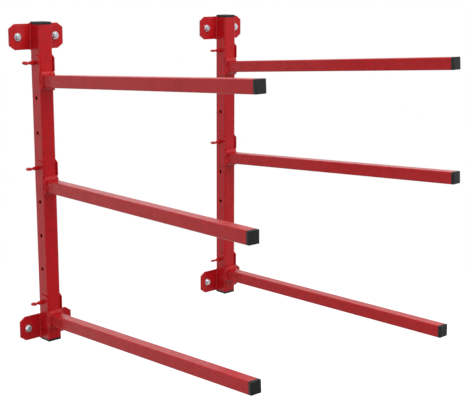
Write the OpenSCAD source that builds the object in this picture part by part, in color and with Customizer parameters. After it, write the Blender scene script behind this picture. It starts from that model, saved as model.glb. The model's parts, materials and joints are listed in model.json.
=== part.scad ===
// Two-upright wall rack with three height-adjustable arms on each upright.
// Wall plane at y = 0, arms reach out along -y, z is up. Millimetres.

/* [Uprights] */
// Centre to centre distance of the two uprights
post_spacing = 513; // [300:1:1200]
// Length of each square upright
post_length = 660; // [634:1:1000]
// Outer width of the upright's square tube
post_width = 32; // [28:0.5:40]
// Wall of the upright's tube
post_wall = 2; // [1.5:0.1:2.8]
// Outer corner radius of the upright's tube
post_corner = 3; // [3:0.1:4.5]

/* [Height holes] */
// Distance between two holes of the row
hole_pitch = 72; // [68:1:76]
// From the upright's top end down to the first hole
first_hole_drop = 76; // [73:0.5:86]
// Number of holes in each upright
hole_count = 8; // [8:1:9]

/* [Wall plates] */
// Width of a wall plate
plate_width = 128.5; // [122:0.5:160]
// Height of a wall plate
plate_height = 52; // [48:1:56]
// Reach of a wall plate past the upright's end
plate_past = 1.5; // [0:0.5:4]
// Thickness of a wall plate
plate_thickness = 4; // [3:0.5:6]
// Width of each cut corner
plate_cut_width = 13; // [6:0.5:15]
// Height of each cut corner
plate_cut_height = 9; // [5:0.5:12]
// Distance between the two bolts of a plate
bolt_spacing = 90; // [84:1:100]
// Leg of the weld beside the upright on each plate
plate_weld_leg = 2.5; // [2:0.5:4]

/* [Wall bolts] */
// Diameter of a bolt's thread
bolt_diameter = 6; // [5:0.5:6.5]
// How much thinner the rolled neck under the head is than the thread, on the diameter
bolt_relief = 0.8; // [0.5:0.1:1]
// Diameter of the plate's hole for a bolt
bolt_hole = 7; // [7:0.5:9]
// Length of a bolt under its head
bolt_length = 20; // [16:1:60]
// Width across the flats of the hex head
bolt_head_flats = 10; // [8:0.5:13]
// Height of the hex head
bolt_head_height = 4; // [3:0.1:6]
// Outer diameter of the washer
washer_diameter = 16; // [15:0.5:20]
// Thickness of the washer
washer_thickness = 1.6; // [1:0.1:2.5]
// Clearance round the thread in the washer, on the diameter
washer_play = 0.4; // [0.2:0.1:1]

/* [Saddles] */
// Sheet thickness of a saddle
saddle_sheet = 2.5; // [2:0.1:3.5]
// Gap between the upright's side and a saddle's cheek
saddle_side_gap = 0.3; // [0.2:0.1:1]
// Inner bend radius of a saddle
saddle_bend = 0.8; // [0.5:0.1:2.5]
// Height of the cheeks above the pin
cheek_above = 16; // [13:0.5:18]
// Depth of the cheeks below the pin
cheek_below = 57; // [55:0.5:62]
// Reach of the cheeks behind the pin
cheek_behind = 10; // [8.5:0.5:11]
// Width of the cheeks' cut front corner
front_cut_width = 8; // [4:0.5:10]
// Height of the cheeks' cut front corner
front_cut_height = 6; // [2:0.5:8]
// Width and height of the cheeks' cut rear corners
rear_cut = 4.5; // [2:0.5:6]
// Room under the web's edge when an arm is folded up
fold_clearance = 0.5; // [0.3:0.1:2]

/* [Arms] */
// Length of an arm's tube
arm_length = 620; // [300:1:900]
// Outer width of an arm's square tube
arm_width = 25; // [20:0.5:26]
// Wall of an arm's tube
arm_wall = 2; // [1.2:0.1:2.3]
// Outer corner radius of an arm's tube
arm_corner = 2.5; // [2.5:0.1:4]
// From the pin down to the arm's centre, at the saddle
arm_drop = 37.6; // [36:0.1:40]
// Height of the heavy weld on the saddle's web above the arm
top_weld_leg = 7; // [4:0.5:9]
// Reach of that weld along the top of the arm
top_weld_reach = 4; // [2:0.5:8]
// Leg of the weld down each side of the arm's root
side_weld_leg = 4; // [2:0.5:5]
// Leg of the weld under the arm's root
under_weld_leg = 4.5; // [2:0.5:6]

/* [Arm lean] */
// Rise of the left top arm, in degrees
rise_left_top = 3.6; // [-2:0.1:5]
// Rise of the left middle arm, in degrees
rise_left_middle = 0.7; // [-2:0.1:5]
// Rise of the left bottom arm, in degrees
rise_left_bottom = 2.9; // [-2:0.1:5]
// Rise of the right top arm, in degrees
rise_right_top = 4.2; // [-2:0.1:5]
// Rise of the right middle arm, in degrees
rise_right_middle = 3.1; // [-2:0.1:5]
// Rise of the right bottom arm, in degrees
rise_right_bottom = 0.7; // [-2:0.1:5]
// Turn of the left top arm to the right, in degrees
turn_left_top = -1.4; // [-3:0.1:3]
// Turn of the left middle arm to the right, in degrees
turn_left_middle = -2.7; // [-3:0.1:3]
// Turn of the left bottom arm to the right, in degrees
turn_left_bottom = -2; // [-3:0.1:3]
// Turn of the right top arm to the right, in degrees
turn_right_top = 1; // [-3:0.1:3]
// Turn of the right middle arm to the right, in degrees
turn_right_middle = 2.5; // [-3:0.1:3]
// Turn of the right bottom arm to the right, in degrees
turn_right_bottom = 0.3; // [-3:0.1:3]

/* [Lock pins] */
// Diameter of a pin
pin_diameter = 8; // [6:0.5:10]
// Clearance round a pin, on the radius
pin_play = 0.1; // [0.05:0.01:0.1]
// Reach of a pin past the right cheek
pin_past = 5; // [3:0.5:12]
// Length of the full pin left of the left cheek
pin_shoulder = 10; // [4:0.5:14]
// Diameter of the wire that makes the eye
eye_wire = 5; // [4:0.1:5.5]
// Outer diameter of the eye
eye_diameter = 13.5; // [12:0.5:20]
// Wire between the shoulder and the eye
eye_neck = 6.5; // [4:0.5:16]

/* [Plastic caps] */
// Thickness of the head on an upright's cap
post_cap_head = 5.5; // [3:0.5:8]
// Thickness of the head on an arm's cap
arm_cap_head = 6; // [3:0.5:8]
// Length of a cap's stem in its tube
cap_stem = 14; // [10:1:20]
// Wall of a cap's stem
cap_stem_wall = 1.6; // [1.2:0.1:2]
// Number of fins round a cap's stem
cap_fin_count = 3; // [2:1:4]
// Height of the fins on a cap's stem
cap_fin = 1.2; // [0.8:0.1:1.6]
// Thickness of a fin
cap_fin_thickness = 0.8; // [0.6:0.1:1.5]
// Radius of the rounded edges of a cap's head
cap_edge = 2; // [0.6:0.1:2.5]

/* [Hidden] */
$fn = 48;
ARM_NAMES = ["left_top", "left_middle", "left_bottom", "right_top", "right_middle", "right_bottom"];

RED = "#b3161f";
BLACK = "#26282a";
ZINC = "#c9ccd0";

// The arms in the order of ARM_NAMES: side, hole in the row, rise and turn, and the turn of the pin's eye.
SIDE = [-1, -1, -1, 1, 1, 1];
HOLE = [1, 4, 8, 1, 4, 8];
RISE = [rise_left_top, rise_left_middle, rise_left_bottom,
        rise_right_top, rise_right_middle, rise_right_bottom];
TURN = [turn_left_top, turn_left_middle, turn_left_bottom,
        turn_right_top, turn_right_middle, turn_right_bottom];
EYE_TURN = [14, 4, 2, 0, 4, -16];

// How far joined shapes run into each other, and how far a cut runs past what it cuts
overlap = 0.5;
through = 2;
// Smallest corner radius of a cap's stem
least_corner = 0.3;
// A hex head's flat face is this share of the width across its flats, inside a 30 degree chamfer
hex_face_share = 0.95;
hex_chamfer = 30;
pin_hole = pin_diameter + 2 * pin_play;
post_back = -plate_thickness;
pin_y = post_back - post_width / 2;
post_front = post_back - post_width;
web_front = post_front - saddle_sheet;
web_top = -post_width / 2 - fold_clearance;
cheek_outer = post_width / 2 + saddle_side_gap + saddle_sheet;
plate_z = post_length / 2 + plate_past - plate_height / 2;
post_bore = post_width - 2 * post_wall;
arm_bore = arm_width - 2 * arm_wall;

function post_x(side) = side * post_spacing / 2;
function hole_z(hole) = post_length / 2 - first_hole_drop - (hole - 1) * hole_pitch;

// A rectangle with round corners, centred
module rounded_rectangle(width, height, radius) {
    square([width, height - 2 * radius], center = true);
    square([width - 2 * radius, height], center = true);
    for (x = [-1, 1] * (width / 2 - radius), y = [-1, 1] * (height / 2 - radius))
        translate([x, y]) circle(radius);
}

module rounded_square(width, radius) {
    rounded_rectangle(width, width, radius);
}

module tube_section(width, wall, corner) {
    difference() {
        rounded_square(width, corner);
        rounded_square(width - 2 * wall, corner - wall);
    }
}

// Upright, standing along z, centred on its own axis
module post(side) {
    color(RED) translate([post_x(side), pin_y, 0]) difference() {
        translate([0, 0, -post_length / 2])
            linear_extrude(post_length) tube_section(post_width, post_wall, post_corner);
        for (hole = [1:hole_count]) translate([0, 0, hole_z(hole)])
            rotate([0, 90, 0]) cylinder(d = pin_hole, h = post_width + through, center = true);
    }
}

// Wall plate with its bolt holes and the two welds beside the upright; end is 1 at the top, -1 at the bottom
module plate(side, end) {
    color(RED) translate([post_x(side), 0, end * plate_z]) {
        difference() {
            rotate([90, 0, 0]) linear_extrude(plate_thickness) plate_outline();
            for (x = [-1, 1] * bolt_spacing / 2) translate([x, 0, 0])
                rotate([90, 0, 0]) cylinder(d = bolt_hole, h = 2 * plate_thickness + through, center = true);
        }
        for (flip = [0, 1]) mirror([flip, 0, 0]) plate_weld();
    }
}

module plate_outline() {
    half_w = plate_width / 2;
    half_h = plate_height / 2;
    polygon([
        [half_w - plate_cut_width, half_h], [half_w, half_h - plate_cut_height],
        [half_w, plate_cut_height - half_h], [half_w - plate_cut_width, -half_h],
        [plate_cut_width - half_w, -half_h], [-half_w, plate_cut_height - half_h],
        [-half_w, half_h - plate_cut_height], [plate_cut_width - half_w, half_h]
    ]);
}

// Fillet weld in the corner between plate and upright; it fills the tube's round corner too
module plate_weld() {
    inset = post_width / 2 - post_corner;
    difference() {
        translate([0, 0, -plate_height / 2]) linear_extrude(plate_height) polygon([
            [inset, post_back + overlap], [post_width / 2 + plate_weld_leg, post_back + overlap],
            [post_width / 2 + plate_weld_leg, post_back],
            [post_width / 2, post_back - post_corner - plate_weld_leg / 2],
            [post_width / 2, post_back - post_corner], [inset, post_back]
        ]);
        translate([inset, post_back - post_corner, 0])
            cylinder(r = post_corner, h = plate_height + through, center = true);
        translate([0, post_back - post_width / 2 - post_corner, 0])
            cube([post_width, post_width, plate_height + through], center = true);
    }
}

// Hex bolts of one upright: heads in front of the washers, necks in the plates, threads in the wall
module wall_bolts(side) {
    head_back = post_back - washer_thickness;
    neck = bolt_diameter - bolt_relief;
    color(ZINC) for (x = [-1, 1] * bolt_spacing / 2, z = [-1, 1] * plate_z)
        translate([post_x(side) + x, 0, z]) rotate([-90, 0, 0]) {
            translate([0, 0, head_back - bolt_head_height]) hex_head();
            translate([0, 0, head_back - overlap]) cylinder(d = neck, h = bolt_length);
            cylinder(d = bolt_diameter, h = bolt_length + head_back);
        }
}

// Hex head whose chamfered face lies at z = 0
module hex_head() {
    face = hex_face_share * bolt_head_flats;
    intersection() {
        rotate(30) cylinder(d = bolt_head_flats / cos(30), h = bolt_head_height, $fn = 6);
        cylinder(d1 = face, d2 = face + 2 * bolt_head_height / tan(hex_chamfer), h = bolt_head_height);
    }
}

module washers(side) {
    color(ZINC) for (x = [-1, 1] * bolt_spacing / 2, z = [-1, 1] * plate_z)
        translate([post_x(side) + x, post_back, z]) rotate([90, 0, 0]) difference() {
            cylinder(d = washer_diameter, h = washer_thickness);
            cylinder(d = bolt_diameter + washer_play, h = 2 * washer_thickness + through, center = true);
        }
}

// Square cap with a hollow stem and fins; the head's underside lies at z = 0 and the head points up
module cap(width, corner, bore, bore_corner, head) {
    stem = bore - 2 * cap_fin;
    stem_corner = max(bore_corner, least_corner);
    intersection() {
        linear_extrude(head) rounded_square(width, corner);
        rotate([90, 0, 0]) linear_extrude(width + through, center = true) cap_profile(width, head);
        rotate([90, 0, 90]) linear_extrude(width + through, center = true) cap_profile(width, head);
    }
    translate([0, 0, -cap_stem]) linear_extrude(cap_stem) difference() {
        rounded_square(stem, stem_corner);
        rounded_square(stem - 2 * cap_stem_wall, stem_corner / 2);
    }
    for (fin = [1:cap_fin_count]) translate([0, 0, -fin * cap_stem / (cap_fin_count + 1)])
        linear_extrude(cap_fin_thickness) difference() {
            rounded_square(bore, stem_corner);
            rounded_square(stem - 2 * cap_stem_wall, stem_corner / 2);
        }
}

// Side view of a cap's head, with its two upper edges rounded
module cap_profile(width, head) {
    inset = width / 2 - cap_edge;
    translate([-width / 2, 0]) square([width, head - cap_edge]);
    translate([-inset, 0]) square([2 * inset, head]);
    for (x = [-inset, inset]) translate([x, head - cap_edge]) circle(cap_edge);
}

module post_cap(side, end) {
    color(BLACK) translate([post_x(side), pin_y, end * post_length / 2])
        mirror([0, 0, end < 0 ? 1 : 0])
            cap(post_width, post_corner, post_bore, post_corner - post_wall, post_cap_head);
}

// Places a shape at an arm's pin, with x along the pin
module at_pin(i) {
    translate([post_x(SIDE[i]), pin_y, hole_z(HOLE[i])]) children();
}

// Places a shape at an arm's root, with z along the arm towards its tip
module at_root(i) {
    at_pin(i) translate([0, web_front - pin_y, -arm_drop])
        rotate([0, 0, TURN[i]]) rotate([90 - RISE[i], 0, 0]) children();
}

// Side view of a saddle: forward is to the right, the pin is at the origin
module cheek_outline() {
    front = pin_y - web_front;
    polygon([
        [front, -cheek_below], [front, cheek_above - front_cut_height],
        [front - front_cut_width, cheek_above], [rear_cut - cheek_behind, cheek_above],
        [-cheek_behind, cheek_above - rear_cut], [-cheek_behind, rear_cut - cheek_below],
        [rear_cut - cheek_behind, -cheek_below]
    ]);
}

// Plan of the folded sheet, open at the back
module saddle_plan() {
    inner = cheek_outer - saddle_sheet;
    outer_bend = saddle_bend + saddle_sheet;
    depth = pin_y - web_front + cheek_behind;
    mid_y = cheek_behind - depth / 2;
    difference() {
        union() {
            translate([0, mid_y + outer_bend / 2])
                square([2 * cheek_outer, depth - outer_bend], center = true);
            translate([0, mid_y]) square([2 * (cheek_outer - outer_bend), depth], center = true);
            for (x = [-1, 1]) translate([x * (cheek_outer - outer_bend), cheek_behind - depth + outer_bend])
                circle(outer_bend);
        }
        translate([0, mid_y + (outer_bend + through) / 2])
            square([2 * inner, depth - outer_bend + through], center = true);
        translate([0, mid_y + (saddle_sheet + through) / 2])
            square([2 * (inner - saddle_bend), depth - saddle_sheet + through], center = true);
        for (x = [-1, 1]) translate([x * (inner - saddle_bend), cheek_behind - depth + outer_bend])
            circle(saddle_bend);
    }
}

// Folded below the web's top edge; above it the two cheeks are flat, with square front edges
module saddle(i) {
    inner = cheek_outer - saddle_sheet;
    long = pin_y - web_front + cheek_behind;
    tall = cheek_above + cheek_below + through;
    color(RED) at_pin(i) difference() {
        intersection() {
            union() {
                translate([0, 0, web_top - tall]) linear_extrude(tall) saddle_plan();
                for (x = [-1, 1] * (cheek_outer + inner) / 2)
                    translate([x, cheek_behind - long / 2, web_top - overlap + tall / 2])
                        cube([saddle_sheet, long, tall], center = true);
            }
            rotate([90, 0, -90]) linear_extrude(2 * cheek_outer + through, center = true) cheek_outline();
        }
        rotate([0, 90, 0]) cylinder(d = pin_hole, h = 2 * cheek_outer + through, center = true);
    }
}

// Arm tube with the weld round its root, cut to lie flat on the saddle's web
module arm(i) {
    behind = 2 * arm_width;
    color(RED) difference() {
        at_root(i) difference() {
            union() {
                translate([0, 0, -side_weld_leg])
                    linear_extrude(arm_length + side_weld_leg) rounded_square(arm_width, arm_corner);
                arm_weld();
            }
            linear_extrude(2 * (arm_length + side_weld_leg), center = true)
                rounded_square(arm_bore, arm_corner - arm_wall);
        }
        at_pin(i) translate([0, behind / 2 + web_front - pin_y, -arm_drop])
            cube([behind, behind, behind], center = true);
    }
}

// Weld round the arm's root, with each leg kept on the saddle's web; y is up and z runs along the arm
module arm_weld() {
    half = arm_width / 2;
    side = min(side_weld_leg, cheek_outer - half);
    top = min(top_weld_leg, arm_drop - half + web_top - overlap);
    under = min(under_weld_leg, cheek_below - arm_drop - half - overlap);
    intersection() {
        rotate([90, 0, 0]) linear_extrude(3 * arm_width, center = true) polygon([
            [-half - side, -side], [half + side, -side], [half + side, 0], [half, side],
            [half, top_weld_reach], [-half, top_weld_reach], [-half, side], [-half - side, 0]
        ]);
        rotate([90, 0, 90]) linear_extrude(3 * arm_width, center = true) polygon([
            [-half - under, -side], [half + top, -side], [half + top, 0], [half, top_weld_reach],
            [-half, under], [-half - under, 0]
        ]);
        translate([0, (top - under) / 2, -side]) linear_extrude(arm_width)
            rounded_rectangle(2 * (half + side), 2 * half + top + under, arm_corner + side);
    }
}

module arm_cap(i) {
    color(BLACK) at_root(i) translate([0, 0, arm_length])
        cap(arm_width, arm_corner, arm_bore, arm_corner - arm_wall, arm_cap_head);
}

// Lock pin with a shoulder and a bent eye at its left end
module pin(i) {
    left = -cheek_outer - pin_shoulder;
    right = cheek_outer + pin_past;
    tip = pin_diameter / 8;
    eye_radius = (eye_diameter - eye_wire) / 2;
    color(RED) at_pin(i) rotate([EYE_TURN[i], 0, 0]) {
        translate([left, 0, 0]) rotate([0, 90, 0]) cylinder(d = pin_diameter, h = right - left - tip);
        translate([right - tip, 0, 0]) rotate([0, 90, 0])
            cylinder(d1 = pin_diameter, d2 = pin_diameter - 2 * tip, h = tip);
        translate([left - eye_neck, 0, 0]) rotate([0, 90, 0])
            cylinder(d = eye_wire, h = eye_neck + overlap);
        translate([left - eye_neck - eye_radius, 0, 0])
            rotate_extrude() translate([eye_radius, 0]) circle(d = eye_wire);
    }
}

for (side = [-1, 1]) {
    word = side < 0 ? "left_" : "right_";
    post(side);
    wall_bolts(side);
    washers(side);
    for (end = [1, -1]) {
        place = str(word, end > 0 ? "top_" : "bottom_");
        plate(side, end);
        post_cap(side, end);
    }
}
for (i = [0:len(ARM_NAMES) - 1]) {
    saddle(i);
    arm(i);
    arm_cap(i);
    pin(i);
}
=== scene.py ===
import json
import math
import random

import bpy
from mathutils import Matrix, Vector


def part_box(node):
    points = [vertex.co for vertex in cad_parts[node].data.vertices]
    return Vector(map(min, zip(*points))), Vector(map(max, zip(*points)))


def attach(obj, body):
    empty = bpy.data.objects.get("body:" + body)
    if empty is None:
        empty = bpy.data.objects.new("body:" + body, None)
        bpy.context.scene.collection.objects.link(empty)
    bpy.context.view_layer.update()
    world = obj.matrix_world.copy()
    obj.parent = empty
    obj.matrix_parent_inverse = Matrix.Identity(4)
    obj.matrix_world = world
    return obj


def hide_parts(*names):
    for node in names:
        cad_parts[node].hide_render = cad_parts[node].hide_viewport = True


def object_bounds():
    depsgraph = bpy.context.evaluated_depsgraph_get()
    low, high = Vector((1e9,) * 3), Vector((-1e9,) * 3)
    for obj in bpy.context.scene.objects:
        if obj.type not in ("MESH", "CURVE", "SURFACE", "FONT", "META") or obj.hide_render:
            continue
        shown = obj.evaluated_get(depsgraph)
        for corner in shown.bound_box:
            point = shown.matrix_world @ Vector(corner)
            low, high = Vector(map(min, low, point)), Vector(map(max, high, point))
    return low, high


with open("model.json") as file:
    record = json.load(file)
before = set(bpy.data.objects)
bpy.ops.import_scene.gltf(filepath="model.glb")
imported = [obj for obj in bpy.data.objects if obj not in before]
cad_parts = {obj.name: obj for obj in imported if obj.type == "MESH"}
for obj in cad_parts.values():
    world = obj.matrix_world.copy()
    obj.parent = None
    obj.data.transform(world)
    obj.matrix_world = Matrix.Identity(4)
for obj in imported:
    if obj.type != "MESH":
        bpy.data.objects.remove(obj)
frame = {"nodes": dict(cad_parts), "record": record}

bl_info = {
    "name": "Wall storage rack",
    "version": (1, 0, 0),
    "blender": (4, 5, 0),
    "location": "View3D > Sidebar > Wall rack",
    "description": "Finishes, welds, threads and a studio for a two-upright wall rack with pinned arms",
    "category": "Object",
}

MM = 0.001
CAD_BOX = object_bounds()
SIDES = ("left", "right")
LEVELS = ("top", "middle", "bottom")
ARMS = [f"{side}_{level}" for side in SIDES for level in LEVELS]
PLATES = [f"{side}_{end}" for side in SIDES for end in ("top", "bottom")]
FINISHES = {"red_enamel": "baked red enamel", "black_plastic": "moulded black polythene",
            "zinc": "bright zinc plate"}

# A weld puddle's half length along the bead, as a share of the ripples' distance
PUDDLE_HALF = 1.7
# How far a puddle of the roughest bead lies off its line, and how much larger it may be
PUDDLE_DRIFT = 0.3 * MM
PUDDLE_SWELL = 0.14
# How far a bead's centre line lies inside both plates, as a share of its leg
SUNK_SHARE = 0.375
# How far a bead reaches into the saddle's web, where it can't be seen
INTO_WEB = 0.8 * MM
# Where a plate bead's centre line runs: out from the upright's side, and in front of its back
PLATE_BEAD_OUT = 0.6 * MM
PLATE_BEAD_AHEAD = 1.4 * MM
# Depth of a metric thread as a share of its pitch
THREAD_DEPTH = 0.613
# The flat circle on a hex head's chamfered end, as a share of half the width across its flats
CHAMFER_CIRCLE = 0.95
CHAMFER_ANGLE = math.radians(30)
# Edges shorter than this are merged after a cut
SLIVER = 0.003 * MM

WHITE = (1, 1, 1, 1)
# The soft boxes: place, width and watts. The box at the front is at the right, near_box is close to the
# camera, and left_card lights the left sides from behind the wall's plane
LAMPS = {
    "top_box": ((0.0, -1.5, 2.4), 1.4, 28),
    "front_box": ((1.2, -2.4, 1.0), 1.2, 8),
    "near_box": ((-1.9, -2.2, 0.0), 0.7, 5),
    "left_card": ((-1.5, 0.7, -0.2), 1.4, 1.2),
}
LAMPS_AIM = Vector((0, -0.3, 0))
# How strongly the room lights the rack, from its front (0) over its sides to the wall (1)
ROOM_LIGHT = ((0.0, 0.05), (0.08, 0.28), (0.16, 0.8), (0.3, 0.35), (0.78, 0.2), (0.95, 0.72))
# What the ceiling adds to that light
CEILING = 0.4
# What a glossy surface reflects: the white backdrop, and in front of the rack the dim side of the room
BACKDROP = ((0.0, 0.05), (0.08, 0.28), (0.16, 0.8), (0.25, 1.0))


# ---------------------------------------------------------------- settings

class PaintSettings(bpy.types.PropertyGroup):
    """The red enamel on all the steel"""
    colour: bpy.props.StringProperty(
        name="Enamel", description="Colour of the baked enamel, as sRGB hex", default="#C0151D")
    deep_colour: bpy.props.StringProperty(
        name="Deep enamel", description="Colour where the enamel lies thick or dull, as sRGB hex",
        default="#A41118")
    orange_peel: bpy.props.FloatProperty(
        name="Orange peel", description="Distance between the waves of the sprayed surface",
        default=2.2 * MM, min=0.5 * MM, max=10 * MM, unit="LENGTH")
    spatter_reach: bpy.props.FloatProperty(
        name="Spatter reach", description="How far along an arm the weld's spatter roughens the enamel",
        default=50 * MM, min=5 * MM, max=100 * MM, unit="LENGTH")


class ArmWeldSettings(bpy.types.PropertyGroup):
    """The heavy weld round the root of each arm"""
    root_drop: bpy.props.FloatProperty(
        name="Root drop", description="From a pin down to the arm's centre at the saddle",
        default=37.6 * MM, unit="LENGTH")
    arm_half: bpy.props.FloatProperty(
        name="Arm half width", description="Half the width of an arm's tube",
        default=12.5 * MM, unit="LENGTH")
    top_leg: bpy.props.FloatProperty(
        name="Top leg", description="Height of the top bead on the saddle's web", default=7 * MM,
        unit="LENGTH")
    top_reach: bpy.props.FloatProperty(
        name="Top reach", description="Reach of the top bead along the arm", default=4 * MM, unit="LENGTH")
    side_leg: bpy.props.FloatProperty(
        name="Side leg", description="Leg of the beads beside the arm", default=4 * MM, unit="LENGTH")
    under_leg: bpy.props.FloatProperty(
        name="Under leg", description="Leg of the bead under the arm", default=4.5 * MM, unit="LENGTH")
    pitch: bpy.props.FloatProperty(
        name="Ripple", description="Distance between two ripples of a bead", default=2.6 * MM, unit="LENGTH")
    grain: bpy.props.FloatProperty(
        name="Grain", description="Size of the smallest detail of a bead", default=0.5 * MM, unit="LENGTH")


class PlateWeldSettings(bpy.types.PropertyGroup):
    """The beads between each wall plate and its upright"""
    across: bpy.props.FloatProperty(
        name="Half width", description="Half the width of a bead on the plate", default=2.4 * MM,
        unit="LENGTH")
    deep: bpy.props.FloatProperty(
        name="Half depth", description="Half the depth of a bead along the upright's side",
        default=3.6 * MM, unit="LENGTH")
    pitch: bpy.props.FloatProperty(
        name="Ripple", description="Distance between two ripples of a bead", default=2.2 * MM, unit="LENGTH")
    grain: bpy.props.FloatProperty(
        name="Grain", description="Size of the smallest detail of a bead", default=0.45 * MM, unit="LENGTH")


class BoltSettings(bpy.types.PropertyGroup):
    """The wall bolts"""
    flats: bpy.props.FloatProperty(
        name="Across flats", description="Width of the hex head", default=10 * MM, unit="LENGTH")
    head: bpy.props.FloatProperty(
        name="Head", description="Height of the hex head", default=4 * MM, unit="LENGTH")
    thread: bpy.props.FloatProperty(
        name="Thread", description="Outer diameter of the thread", default=6 * MM, unit="LENGTH")
    thread_pitch: bpy.props.FloatProperty(
        name="Thread pitch", description="Distance between two turns of the thread", default=1 * MM,
        unit="LENGTH")
    neck: bpy.props.FloatProperty(
        name="Neck", description="Diameter of the plain neck under the head", default=5.2 * MM,
        unit="LENGTH")


class EdgeSettings(bpy.types.PropertyGroup):
    """How far the cut edges are rounded under the finish"""
    sheet_edge: bpy.props.FloatProperty(
        name="Sheet edge", description="Rounding on the cut edges of plates and saddles",
        default=0.45 * MM, unit="LENGTH")
    washer_edge: bpy.props.FloatProperty(
        name="Washer edge", description="Rounding on the punched edges of the washers",
        default=0.3 * MM, unit="LENGTH")
    pin_grain: bpy.props.FloatProperty(
        name="Pin grain", description="Size of the smallest detail of a forged lock pin",
        default=0.5 * MM, unit="LENGTH")


class StageSettings(bpy.types.PropertyGroup):
    """The studio round the rack"""
    camera_at: bpy.props.FloatVectorProperty(
        name="Camera", description="Place of the camera", default=(-1.5274, -1.9094, 0.4416),
        subtype="TRANSLATION", unit="LENGTH")
    camera_yaw: bpy.props.FloatProperty(
        name="Yaw", description="Turn of the view from straight at the wall, to the right",
        default=math.radians(43.76), subtype="ANGLE")
    camera_pitch: bpy.props.FloatProperty(
        name="Pitch", description="Tilt of the view below the level",
        default=math.radians(11.95), subtype="ANGLE")
    camera_roll: bpy.props.FloatProperty(
        name="Roll", description="Roll of the camera about its view",
        default=math.radians(0.14), subtype="ANGLE")
    lens: bpy.props.FloatProperty(
        name="Lens", description="Focal length on a 36 mm wide sensor, in millimetres", default=84.98)
    floor_drop: bpy.props.FloatProperty(
        name="Floor drop", description="Distance from the rack's lowest point down to the studio floor",
        default=0.55, unit="LENGTH")
    floor_radius: bpy.props.FloatProperty(
        name="Floor radius", description="Radius of the round studio floor", default=2.6, unit="LENGTH")


# ---------------------------------------------------------------- small helpers

def linear(hex_colour):
    """An sRGB hex colour as a linear RGBA tuple."""
    channels = [int(hex_colour[i:i + 2], 16) / 255 for i in (1, 3, 5)]
    return tuple(c / 12.92 if c <= 0.04045 else ((c + 0.055) / 1.055) ** 2.4 for c in channels) + (1.0,)


def add_node(tree, kind, values=None, links=None, **settings):
    """Adds a node with its settings, its input values and the links into its inputs."""
    made = tree.nodes.new(kind)
    for key, value in settings.items():
        setattr(made, key, value)
    for socket, value in (values or {}).items():
        made.inputs[socket].default_value = value
    for socket, source in (links or {}).items():
        tree.links.new(source, made.inputs[socket])
    return made


def new_material(name):
    """An empty node material and its tree."""
    material = bpy.data.materials.new(name)
    material.use_nodes = True
    material.node_tree.nodes.clear()
    return material, material.node_tree


def finish_material(tree, shader):
    add_node(tree, "ShaderNodeOutputMaterial", links={"Surface": shader.outputs[0]})


def dress(obj, material):
    """Puts one material on the whole of an object."""
    obj.data.materials.clear()
    obj.data.materials.append(material)


def finish(slot):
    """The material made for a slot of the record."""
    return bpy.data.materials[FINISHES[slot]]


def select(*objs):
    """Selects these objects and nothing else; the first becomes the active one."""
    bpy.ops.object.select_all(action="DESELECT")
    for obj in objs:
        obj.select_set(True)
    bpy.context.view_layer.objects.active = objs[0]


def join(objs, name):
    """Joins objects into the first and puts their place, turn and size into its mesh."""
    select(*objs)
    bpy.ops.object.join()
    bpy.ops.object.transform_apply(location=True, rotation=True, scale=True)
    objs[0].name = name
    return objs[0]


def modify(obj, kind, **settings):
    """Adds a modifier with its settings and applies it."""
    select(obj)
    modifier = obj.modifiers.new(kind, kind)
    for key, value in settings.items():
        setattr(modifier, key, value)
    bpy.ops.object.modifier_apply(modifier=modifier.name)


def cut(obj, tool, operation="DIFFERENCE"):
    """Cuts an object with another by a Boolean, then deletes the tool."""
    modify(obj, "BOOLEAN", operation=operation, object=tool, solver="EXACT")
    bpy.data.objects.remove(tool)


def block(low, high):
    """A box between two corners."""
    low, high = Vector(low), Vector(high)
    bpy.ops.mesh.primitive_cube_add(size=1, location=(low + high) / 2, scale=high - low)
    return bpy.context.object


def edit_all(obj):
    """Opens an object in edit mode with all of its mesh selected."""
    select(obj)
    bpy.ops.object.mode_set(mode="EDIT")
    bpy.ops.mesh.select_all(action="SELECT")


def close_edit(obj, smooth_angle=math.radians(30)):
    """Leaves edit mode with all faces outwards, and shades smooth across blunt edges."""
    bpy.ops.mesh.select_all(action="SELECT")
    bpy.ops.mesh.normals_make_consistent(inside=False)
    bpy.ops.object.mode_set(mode="OBJECT")
    bpy.ops.object.shade_smooth_by_angle(angle=smooth_angle)


def clean(obj):
    """Merges the slivers that cuts leave, and points all faces outwards."""
    edit_all(obj)
    bpy.ops.mesh.remove_doubles(threshold=SLIVER)
    bpy.ops.mesh.dissolve_degenerate(threshold=SLIVER)
    close_edit(obj)


def twin(obj, name):
    """A copy of an object with a mesh of its own."""
    copy = obj.copy()
    copy.data = obj.data.copy()
    copy.name = name
    bpy.context.scene.collection.objects.link(copy)
    return copy


def copy_node(node, name):
    """A new object with a CAD node's mesh, merged, and with its flat triangles joined to faces."""
    obj = twin(frame["nodes"][node], name)
    edit_all(obj)
    bpy.ops.mesh.remove_doubles(threshold=0.01 * MM)
    bpy.ops.mesh.dissolve_limited(angle_limit=math.radians(0.5))
    close_edit(obj)
    return obj


def body_of(node):
    """The body that carries a CAD node."""
    bodies = frame["record"]["behaviour"]["bodies"]
    return next(body for body, nodes in bodies.items() if node in nodes)


def mount(piece, body, slot, *replaced):
    """Lets a finished piece ride on its body, gives it its finish and hides what it replaces."""
    dress(piece, finish(slot))
    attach(piece, body)
    if replaced:
        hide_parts(*replaced)


# ---------------------------------------------------------------- materials

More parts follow.
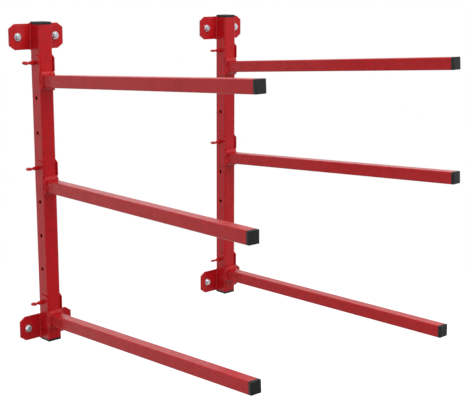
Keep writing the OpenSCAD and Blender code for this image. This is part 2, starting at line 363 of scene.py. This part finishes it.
def baked_enamel(paint):
    """Red enamel, sprayed and baked on steel: a hard gloss over a saturated red. The spray leaves faint
    waves and slightly deeper patches, and next to the arms' welds it covers a rough bloom of spatter. Its
    IOR is a little below a paint's, so that the white room doesn't wash out the red."""
    material, tree = new_material(FINISHES["red_enamel"])
    place = add_node(tree, "ShaderNodeTexCoord").outputs["Object"]
    patches = add_node(tree, "ShaderNodeTexNoise",
                       {"Scale": 1 / (16 * MM), "Detail": 3.0, "Roughness": 0.6}, {"Vector": place})
    depth = add_node(tree, "ShaderNodeMapRange",
                     {"From Min": 0.35, "From Max": 0.7, "To Min": 0.0, "To Max": 0.55},
                     {"Value": patches.outputs["Fac"]})
    red = add_node(tree, "ShaderNodeMix", data_type="RGBA")
    red.inputs[6].default_value = linear(paint.colour)
    red.inputs[7].default_value = linear(paint.deep_colour)
    tree.links.new(depth.outputs["Result"], red.inputs["Factor"])
    gloss = add_node(tree, "ShaderNodeMapRange",
                     {"From Min": 0.3, "From Max": 0.7, "To Min": 0.24, "To Max": 0.34},
                     {"Value": patches.outputs["Fac"]})

    peel = add_node(tree, "ShaderNodeTexNoise",
                    {"Scale": 1 / paint.orange_peel, "Detail": 2.0, "Roughness": 0.5}, {"Vector": place})
    waves = add_node(tree, "ShaderNodeBump", {"Strength": 0.25, "Distance": 0.04 * MM},
                     {"Height": peel.outputs["Fac"]})
    web_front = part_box(f"{ARMS[0]}_saddle")[0][1]
    forward = add_node(tree, "ShaderNodeSeparateXYZ", links={"Vector": place}).outputs["Y"]
    near = add_node(tree, "ShaderNodeMapRange",
                    {"From Min": web_front - paint.spatter_reach, "From Max": web_front - 25 * MM},
                    {"Value": forward}, interpolation_type="SMOOTHSTEP")
    ahead = add_node(tree, "ShaderNodeMath", {1: web_front - 4 * MM}, {0: forward}, operation="LESS_THAN")
    # Drops of spatter are 1 to 2 mm wide; they are drawn 4 mm apart, so that they show
    grains = add_node(tree, "ShaderNodeTexVoronoi", {"Scale": 1 / (4 * MM)}, {"Vector": place})
    spots = add_node(tree, "ShaderNodeMath", links={0: near.outputs["Result"], 1: ahead.outputs[0]},
                     operation="MULTIPLY")
    bloom = add_node(tree, "ShaderNodeMath", links={0: grains.outputs["Distance"], 1: spots.outputs[0]},
                     operation="MULTIPLY")
    spatter = add_node(tree, "ShaderNodeBump", {"Strength": 1.0, "Distance": 1.2 * MM},
                       {"Height": bloom.outputs[0], "Normal": waves.outputs["Normal"]}, invert=True)
    shader = add_node(tree, "ShaderNodeBsdfPrincipled", {"IOR": 1.34},
                      {"Base Color": red.outputs[2], "Roughness": gloss.outputs["Result"],
                       "Normal": spatter.outputs["Normal"]})
    finish_material(tree, shader)
    return material


def moulded_polythene():
    """Black polythene caps, moulded against a lightly etched tool: dull, with soft edges to the light."""
    material, tree = new_material(FINISHES["black_plastic"])
    place = add_node(tree, "ShaderNodeTexCoord").outputs["Object"]
    # The real etching is about 0.2 mm wide, and is drawn coarser, so that it shows
    etch = add_node(tree, "ShaderNodeTexNoise",
                    {"Scale": 1 / (0.9 * MM), "Detail": 2.0, "Roughness": 0.6}, {"Vector": place})
    skin = add_node(tree, "ShaderNodeBump", {"Strength": 0.3, "Distance": 0.05 * MM},
                    {"Height": etch.outputs["Fac"]})
    rubbed = add_node(tree, "ShaderNodeTexNoise",
                      {"Scale": 1 / (9 * MM), "Detail": 3.0, "Roughness": 0.6}, {"Vector": place})
    dull = add_node(tree, "ShaderNodeMapRange",
                    {"From Min": 0.3, "From Max": 0.7, "To Min": 0.5, "To Max": 0.66},
                    {"Value": rubbed.outputs["Fac"]})
    shader = add_node(tree, "ShaderNodeBsdfPrincipled", {"Base Color": linear("#0F1010"), "IOR": 1.45},
                      {"Roughness": dull.outputs["Result"], "Normal": skin.outputs["Normal"]})
    finish_material(tree, shader)
    return material


def bright_zinc():
    """Zinc plate on steel: a clear, faintly blue metal, mottled by the bath and scratched in the barrel."""
    material, tree = new_material(FINISHES["zinc"])
    place = add_node(tree, "ShaderNodeTexCoord").outputs["Object"]
    # The barrel's scratches are finer than this, and are drawn wide enough to show
    scratches = add_node(tree, "ShaderNodeTexNoise",
                         {"Scale": 1 / (1.2 * MM), "Detail": 4.0, "Roughness": 0.65}, {"Vector": place})
    nicks = add_node(tree, "ShaderNodeBump", {"Strength": 0.35, "Distance": 0.04 * MM},
                     {"Height": scratches.outputs["Fac"]})
    bloom = add_node(tree, "ShaderNodeTexNoise",
                     {"Scale": 1 / (3.5 * MM), "Detail": 2.0, "Roughness": 0.5}, {"Vector": place})
    tint = add_node(tree, "ShaderNodeMix", data_type="RGBA")
    tint.inputs[6].default_value = linear("#F2F3F5")
    tint.inputs[7].default_value = linear("#D8DDE5")
    tree.links.new(bloom.outputs["Fac"], tint.inputs["Factor"])
    dull = add_node(tree, "ShaderNodeMapRange",
                    {"From Min": 0.3, "From Max": 0.7, "To Min": 0.2, "To Max": 0.36},
                    {"Value": bloom.outputs["Fac"]})
    shader = add_node(tree, "ShaderNodeBsdfPrincipled", {"Metallic": 1.0},
                      {"Base Color": tint.outputs[2], "Roughness": dull.outputs["Result"],
                       "Normal": nicks.outputs["Normal"]})
    finish_material(tree, shader)
    return material


class RACK_OT_finishes(bpy.types.Operator):
    """Makes the finishes and gives every CAD node its own"""
    bl_idname = "rack.finishes"
    bl_label = "Finishes"

    def execute(self, context):
        baked_enamel(context.scene.rack_paint)
        moulded_polythene()
        bright_zinc()
        for part in frame["record"]["subparts"]:
            dress(frame["nodes"][part["node"]], finish(part["material_slot"]))
        return {"FINISHED"}


# ---------------------------------------------------------------- pieces

def lay_bead(start, end, across, pitch, tilt, unrest, draw):
    """Lays weld puddles from start to end: flat lenses, each tilted and half over the last. Unrest is how
    unevenly they lie, from 0 for a smooth bead to 1 for a rough one."""
    start, end = Vector(start), Vector(end)
    path = end - start
    count = max(round(path.length / pitch), 1)
    along_x = abs(path.x) > abs(path.z)
    puddles = []
    for step in range(count + 1):
        drift = Vector([draw.uniform(-PUDDLE_DRIFT, PUDDLE_DRIFT) * unrest for _ in range(3)])
        swell = draw.uniform(1.0, 1.0 + PUDDLE_SWELL * unrest)
        wide, deep = (radius * swell for radius in across)
        lens = PUDDLE_HALF * pitch * draw.uniform(0.85, 1.2)
        bpy.ops.mesh.primitive_uv_sphere_add(
            segments=20, ring_count=12, radius=1, location=start + path * step / count + drift,
            scale=(lens, deep, wide) if along_x else (wide, deep, lens),
            rotation=(0, 0, tilt) if along_x else (tilt, 0, 0))
        puddles.append(bpy.context.object)
    return puddles


def fuse(puddles, name, grain):
    """Melts overlapping puddles into one closed skin."""
    bead = join(puddles, name)
    modify(bead, "REMESH", mode="VOXEL", voxel_size=grain)
    modify(bead, "SMOOTH", factor=0.5, iterations=2)
    return bead


def bead_section(half, reach, leg):
    """Centre (behind the web, out from the arm's middle) and half axes (deep, wide) of a bead that reaches
    along the arm and has a leg on the web; its centre lies inside both, so that the bead stands proud."""
    sunk_y, sunk_out = SUNK_SHARE * reach, SUNK_SHARE * leg
    full = math.hypot(1 + SUNK_SHARE, SUNK_SHARE)
    return sunk_y, half - sunk_out, reach * full, leg * full


def model_arm_weld(weld, name, draw):
    """The weld round an arm's root, with the root's centre at the origin and the web's plane at y = 0."""
    half = weld.arm_half
    end = half + 1 * MM
    top_y, top_z, top_deep, top_wide = bead_section(half, weld.top_reach, weld.top_leg)
    side_y, side_x, side_deep, side_wide = bead_section(half, weld.side_leg, weld.side_leg)
    under_y, under_z, under_deep, under_wide = bead_section(half, weld.under_leg, weld.under_leg)
    puddles = lay_bead(
        (-end, top_y, top_z), (end, top_y, top_z), (top_wide, top_deep), weld.pitch, 0.45, 1.0, draw)
    puddles += lay_bead(
        (end, under_y, -under_z), (-end, under_y, -under_z), (under_wide, under_deep), weld.pitch, -0.3, 0.5,
        draw)
    for x in (-side_x, side_x):
        puddles += lay_bead(
            (x, side_y, -half), (x, side_y, half), (side_wide, side_deep), weld.pitch, 0.2, 0.3, draw)
    bead = fuse(puddles, name, weld.grain)
    room = 3 * half
    cut(bead, block((-room, INTO_WEB, -room), (room, room, room)))
    hollow = half - 1 * MM
    cut(bead, block((-hollow, -room, -hollow), (hollow, room, hollow)))
    clean(bead)
    return bead


class RACK_OT_arm_welds(bpy.types.Operator):
    """Lays a rippled weld round the root of each arm"""
    bl_idname = "rack.arm_welds"
    bl_label = "Arm welds"

    def execute(self, context):
        weld = context.scene.rack_arm_weld
        draw = random.Random(4)
        for level in LEVELS:
            pattern = model_arm_weld(weld, f"pattern_{level}", draw)
            for side, mirrored in (("left", 1), ("right", -1)):
                arm = f"{side}_{level}"
                piece = twin(pattern, f"{arm}_arm_weld")
                web_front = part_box(f"{arm}_saddle")[0][1]
                edit_all(piece)
                bpy.ops.transform.resize(value=(mirrored, 1, 1), center_override=(0, 0, 0))
                pin = joint_place(f"{arm}_fold")
                bpy.ops.transform.translate(value=(pin[0], web_front, pin[2] - weld.root_drop))
                close_edit(piece)
                mount(piece, body_of(f"{arm}_arm"), "red_enamel")
            bpy.data.objects.remove(pattern)
        return {"FINISHED"}


def joint_place(name):
    """Where a joint's axis passes, from the record."""
    return next(joint["pos_m"] for joint in frame["record"]["behaviour"]["joints"] if joint["name"] == name)


class RACK_OT_plate_welds(bpy.types.Operator):
    """Lays the two beads that hold each wall plate to its upright"""
    bl_idname = "rack.plate_welds"
    bl_label = "Plate welds"

    def execute(self, context):
        weld = context.scene.rack_plate_weld
        draw = random.Random(9)
        for place in PLATES:
            node = f"{place}_plate"
            post_low, post_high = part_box(f"{place.split('_')[0]}_post")
            plate_low, plate_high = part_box(node)
            reach = (plate_high[2] - plate_low[2]) / 2 - weld.pitch
            centre_y = post_high[1] - PLATE_BEAD_AHEAD
            centre_z = (plate_low[2] + plate_high[2]) / 2
            puddles = []
            for x in (post_low[0] - PLATE_BEAD_OUT, post_high[0] + PLATE_BEAD_OUT):
                puddles += lay_bead(
                    (x, centre_y, centre_z - reach), (x, centre_y, centre_z + reach),
                    (weld.across, weld.deep), weld.pitch, 0.5, 0.6, draw)
            piece = fuse(puddles, f"{place}_plate_weld", weld.grain)
            edit_all(piece)
            close_edit(piece)
            mount(piece, body_of(node), "red_enamel")
        return {"FINISHED"}


def draw_profile(name, points):
    """Draws an open line through points, as by extruding one vertex."""
    bpy.ops.object.select_all(action="DESELECT")
    bpy.ops.mesh.primitive_plane_add(size=MM, location=points[0])
    line = bpy.context.object
    line.name = name
    edit_all(line)
    bpy.ops.mesh.merge(type="CENTER")
    for last, point in zip(points, points[1:]):
        bpy.ops.mesh.extrude_region_move(TRANSFORM_OT_translate={"value": Vector(point) - Vector(last)})
    bpy.ops.object.mode_set(mode="OBJECT")
    bpy.ops.object.transform_apply(location=True, rotation=True, scale=True)
    return line


def model_thread(bolt, length):
    """A screw thread along y from 0 to its length, with flat ends."""
    crest = bolt.thread / 2
    pitch = bolt.thread_pitch
    root = crest - THREAD_DEPTH * pitch
    turns = math.ceil(length / pitch) + 2
    start = -1.5 * pitch
    thread = draw_profile("thread", [
        (root, start, 0), (root, start + pitch / 8, 0), (crest, start + pitch * 7 / 16, 0),
        (crest, start + pitch * 9 / 16, 0), (root, start + pitch * 7 / 8, 0), (root, start + pitch, 0)])
    modify(thread, "SCREW", axis="Y", angle=math.tau, screw_offset=pitch, iterations=turns,
           steps=24, render_steps=24)
    edit_all(thread)
    bpy.ops.mesh.remove_doubles(threshold=0.01 * MM)
    for height, side in ((0, "clear_inner"), (length, "clear_outer")):
        bpy.ops.mesh.select_all(action="SELECT")
        bpy.ops.mesh.bisect(
            plane_co=(0, height, 0), plane_no=(0, 1, 0), use_fill=True, threshold=0.001 * MM, **{side: True})
    close_edit(thread)
    return thread


def model_bolt(bolt, plate_face, length):
    """A hex bolt along y: its head in front of plate_face, its thread behind the wall's plane at y = 0."""
    along_y = (math.pi / 2, 0, 0)
    head_y = plate_face - bolt.head / 2
    circle = CHAMFER_CIRCLE * bolt.flats / 2
    bpy.ops.object.select_all(action="DESELECT")
    bpy.ops.mesh.primitive_cylinder_add(
        vertices=6, radius=bolt.flats / math.sqrt(3), depth=bolt.head, location=(0, head_y, 0),
        rotation=along_y)
    head = bpy.context.object
    bpy.ops.mesh.primitive_cone_add(
        vertices=64, radius1=circle + bolt.head / math.tan(CHAMFER_ANGLE), radius2=circle, depth=bolt.head,
        location=(0, head_y, 0), rotation=along_y)
    cut(head, bpy.context.object, "INTERSECT")
    modify(head, "BEVEL", width=0.25 * MM, segments=2, limit_method="ANGLE", angle_limit=math.radians(20))
    bpy.ops.mesh.primitive_cylinder_add(
        vertices=48, radius=bolt.neck / 2, depth=-plate_face + 2 * MM, location=(0, plate_face / 2, 0),
        rotation=along_y)
    cut(head, bpy.context.object, "UNION")
    cut(head, model_thread(bolt, length), "UNION")
    clean(head)
    return join([head], "bolt")


class RACK_OT_wall_bolts(bpy.types.Operator):
    """Makes the wall bolts with chamfered heads and rolled threads, in place of the plain ones"""
    bl_idname = "rack.wall_bolts"
    bl_label = "Wall bolts"

    def execute(self, context):
        bolt = context.scene.rack_bolt
        draw = random.Random(2)
        plate_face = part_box("left_washers")[0][1]
        pattern = model_bolt(bolt, plate_face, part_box("left_wall_bolts")[1][1])
        mounts = {row["name"]: row["dims"] for row in frame["record"]["mounts"]}
        reaches = [mounts[name]["spacing_x_mm"] / 2 * MM for name in ("wall_studs_outer", "wall_studs_inner")]
        height = mounts["wall_studs_outer"]["spacing_y_mm"] / 2 * MM
        for side, sign in (("left", -1), ("right", 1)):
            node = f"{side}_wall_bolts"
            copies = []
            for reach in reaches:
                for z in (-height, height):
                    copy = twin(pattern, "bolt_copy")
                    edit_all(copy)
                    bpy.ops.transform.rotate(
                        value=draw.uniform(0, math.tau), orient_axis="Y", center_override=(0, 0, 0))
                    bpy.ops.transform.translate(value=(sign * reach, 0, z))
                    close_edit(copy)
                    copies.append(copy)
            mount(join(copies, f"{side}_hex_bolts"), body_of(node), "zinc", node)
        bpy.data.objects.remove(pattern)
        return {"FINISHED"}


class RACK_OT_lock_pins(bpy.types.Operator):
    """Blends the shoulder, neck and eye of each lock pin into one forged shape"""
    bl_idname = "rack.lock_pins"
    bl_label = "Lock pins"

    def execute(self, context):
        edges = context.scene.rack_edges
        for arm in ARMS:
            node = f"{arm}_pin"
            piece = copy_node(node, f"{arm}_lock_pin")
            modify(piece, "REMESH", mode="VOXEL", voxel_size=edges.pin_grain)
            modify(piece, "SMOOTH", factor=0.5, iterations=6)
            edit_all(piece)
            close_edit(piece, math.radians(80))
            mount(piece, body_of(node), "red_enamel", node)
        return {"FINISHED"}


class RACK_OT_sheet_edges(bpy.types.Operator):
    """Rounds the cut edges of the plates, saddles and washers"""
    bl_idname = "rack.sheet_edges"
    bl_label = "Sheet edges"

    def execute(self, context):
        edges = context.scene.rack_edges
        jobs = [(f"{arm}_saddle", edges.sheet_edge, "red_enamel") for arm in ARMS]
        jobs += [(f"{place}_plate", edges.sheet_edge, "red_enamel") for place in PLATES]
        jobs += [(f"{side}_washers", edges.washer_edge, "zinc") for side in SIDES]
        for node, width, slot in jobs:
            piece = copy_node(node, f"{node}_eased")
            modify(piece, "BEVEL", width=width, segments=2, limit_method="ANGLE",
                   angle_limit=math.radians(35), use_clamp_overlap=False, miter_outer="MITER_ARC")
            edit_all(piece)
            close_edit(piece)
            mount(piece, body_of(node), slot, node)
        return {"FINISHED"}


# ---------------------------------------------------------------- stage

def room_light(tree, place, levels):
    """How bright the room is towards a place, from levels that run from the rack's front to the wall."""
    toward = add_node(tree, "ShaderNodeVectorMath", links={0: place}, operation="NORMALIZE")
    back = add_node(tree, "ShaderNodeSeparateXYZ", links={"Vector": toward.outputs[0]}).outputs["Y"]
    share = add_node(tree, "ShaderNodeMapRange", {"From Min": -1.0, "From Max": 1.0}, {"Value": back})
    ramp = add_node(tree, "ShaderNodeValToRGB", links={"Fac": share.outputs["Result"]})
    stops = ramp.color_ramp.elements
    for position, light in levels[1:-1]:
        stops.new(position).color = (light, light, light, 1)
    for stop, (position, light) in ((stops[0], levels[0]), (stops[-1], levels[-1])):
        stop.position = position
        stop.color = (light, light, light, 1)
    return ramp.outputs["Color"]


def shows_white(tree, path):
    """Picks the rays that show the backdrop as plain white: the camera's, and those that pass glass."""
    return add_node(tree, "ShaderNodeMath", operation="MAXIMUM", links={
        0: path.outputs["Is Camera Ray"], 1: path.outputs["Is Transmission Ray"]}).outputs[0]


def add_floor(stage):
    """A pale round floor that takes the rack's shadow: white to the camera, and backdrop to glossy rays."""
    bpy.ops.object.select_all(action="DESELECT")
    bpy.ops.mesh.primitive_circle_add(
        vertices=96, radius=stage.floor_radius, fill_type="NGON",
        location=(0, 0, CAD_BOX[0][2] - stage.floor_drop))
    floor = bpy.context.object
    floor.name = "studio_floor"
    material, tree = new_material("white studio floor")
    path = add_node(tree, "ShaderNodeLightPath")
    paper = add_node(tree, "ShaderNodeBsdfDiffuse", {"Color": (0.6, 0.6, 0.6, 1)})
    glow = add_node(tree, "ShaderNodeEmission", {"Color": WHITE, "Strength": 0.6})
    lit = add_node(tree, "ShaderNodeAddShader", links={0: paper.outputs[0], 1: glow.outputs[0]})
    # Darker to diffuse rays, so that the floor doesn't light the rack's undersides too much
    dim = add_node(tree, "ShaderNodeBsdfDiffuse", {"Color": (0.35, 0.35, 0.35, 1)})
    place = add_node(tree, "ShaderNodeTexCoord").outputs["Object"]
    shine = add_node(tree, "ShaderNodeEmission", {"Color": WHITE},
                     {"Strength": room_light(tree, place, BACKDROP)})
    unseen = add_node(tree, "ShaderNodeMixShader",
                      links={0: path.outputs["Is Glossy Ray"], 1: dim.outputs[0], 2: shine.outputs[0]})
    both = add_node(tree, "ShaderNodeMixShader",
                    links={0: shows_white(tree, path), 1: unseen.outputs[0], 2: lit.outputs[0]})
    finish_material(tree, both)
    dress(floor, material)


def add_lights():
    """Soft boxes at a plain level, aimed at the rack."""
    for name, (place, size, watts) in LAMPS.items():
        lamp = bpy.data.lights.new(name, "AREA")
        lamp.size = size
        lamp.energy = watts
        obj = bpy.data.objects.new(name, lamp)
        obj.location = place
        obj.visible_camera = False
        obj.rotation_euler = (LAMPS_AIM - Vector(place)).to_track_quat("-Z", "Y").to_euler()
        bpy.context.scene.collection.objects.link(obj)


def add_world(scene):
    """A studio room: plain white to the camera, the backdrop to glossy rays, and soft light for the rest."""
    world = bpy.data.worlds.new("studio room")
    scene.world = world
    world.use_nodes = True
    tree = world.node_tree
    tree.nodes.clear()
    path = add_node(tree, "ShaderNodeLightPath")
    direction = add_node(tree, "ShaderNodeTexCoord").outputs["Generated"]
    height = add_node(tree, "ShaderNodeSeparateXYZ", links={"Vector": direction}).outputs["Z"]
    ceiling = add_node(tree, "ShaderNodeMapRange",
                       {"From Min": 0.05, "From Max": 0.16, "To Min": 0.0, "To Max": CEILING},
                       {"Value": height}, interpolation_type="SMOOTHSTEP")
    light = add_node(tree, "ShaderNodeMath", operation="ADD",
                     links={0: room_light(tree, direction, ROOM_LIGHT), 1: ceiling.outputs["Result"]})
    room = add_node(tree, "ShaderNodeBackground", {"Color": WHITE}, {"Strength": light.outputs[0]})
    mirrored = add_node(tree, "ShaderNodeBackground", {"Color": WHITE},
                        {"Strength": room_light(tree, direction, BACKDROP)})
    white = add_node(tree, "ShaderNodeBackground", {"Color": WHITE, "Strength": 1.0})
    glossy = add_node(tree, "ShaderNodeMixShader",
                      links={0: path.outputs["Is Glossy Ray"], 1: room.outputs[0], 2: mirrored.outputs[0]})
    both = add_node(tree, "ShaderNodeMixShader",
                    links={0: shows_white(tree, path), 1: glossy.outputs[0], 2: white.outputs[0]})
    add_node(tree, "ShaderNodeOutputWorld", links={"Surface": both.outputs[0]})


def add_camera(scene, stage):
    """The camera: turned to the right, tilted down and rolled about its own view."""
    data = bpy.data.cameras.new("camera")
    data.lens = stage.lens
    data.sensor_width = 36.0
    data.clip_end = 50.0
    camera = bpy.data.objects.new("camera", data)
    turn = Matrix.Rotation(-stage.camera_yaw, 4, "Z")
    tilt = Matrix.Rotation(math.pi / 2 - stage.camera_pitch, 4, "X")
    roll = Matrix.Rotation(stage.camera_roll, 4, "Z")
    camera.matrix_world = Matrix.Translation(stage.camera_at) @ turn @ tilt @ roll
    scene.collection.objects.link(camera)
    scene.camera = camera


class RACK_OT_studio(bpy.types.Operator):
    """Sets the floor, the lights and the camera"""
    bl_idname = "rack.studio"
    bl_label = "Studio"

    def execute(self, context):
        stage = context.scene.rack_stage
        add_floor(stage)
        add_lights()
        add_world(context.scene)
        add_camera(context.scene, stage)
        context.scene.view_settings.view_transform = "Standard"
        return {"FINISHED"}


class RACK_PT_panel(bpy.types.Panel):
    """Lists the rack's steps in the order in which they are run"""
    bl_idname = "RACK_PT_panel"
    bl_label = "Wall rack"
    bl_space_type = "VIEW_3D"
    bl_region_type = "UI"
    bl_category = "Wall rack"

    def draw(self, context):
        for operator in STEPS:
            self.layout.operator(operator.bl_idname)


STEPS = (RACK_OT_finishes, RACK_OT_arm_welds, RACK_OT_plate_welds, RACK_OT_wall_bolts, RACK_OT_lock_pins,
         RACK_OT_sheet_edges, RACK_OT_studio)
SETTINGS = {"rack_paint": PaintSettings, "rack_arm_weld": ArmWeldSettings,
            "rack_plate_weld": PlateWeldSettings, "rack_bolt": BoltSettings, "rack_edges": EdgeSettings,
            "rack_stage": StageSettings}


def register():
    for cls in (*SETTINGS.values(), *STEPS, RACK_PT_panel):
        bpy.utils.register_class(cls)
    for name, group in SETTINGS.items():
        setattr(bpy.types.Scene, name, bpy.props.PointerProperty(type=group))


def unregister():
    for name in SETTINGS:
        delattr(bpy.types.Scene, name)
    for cls in reversed((*SETTINGS.values(), *STEPS, RACK_PT_panel)):
        bpy.utils.unregister_class(cls)


def main():
    register()
    bpy.ops.rack.finishes()
    bpy.ops.rack.arm_welds()
    bpy.ops.rack.plate_welds()
    bpy.ops.rack.wall_bolts()
    bpy.ops.rack.lock_pins()
    bpy.ops.rack.sheet_edges()
    bpy.ops.rack.studio()


if __name__ == "__main__":
    main()
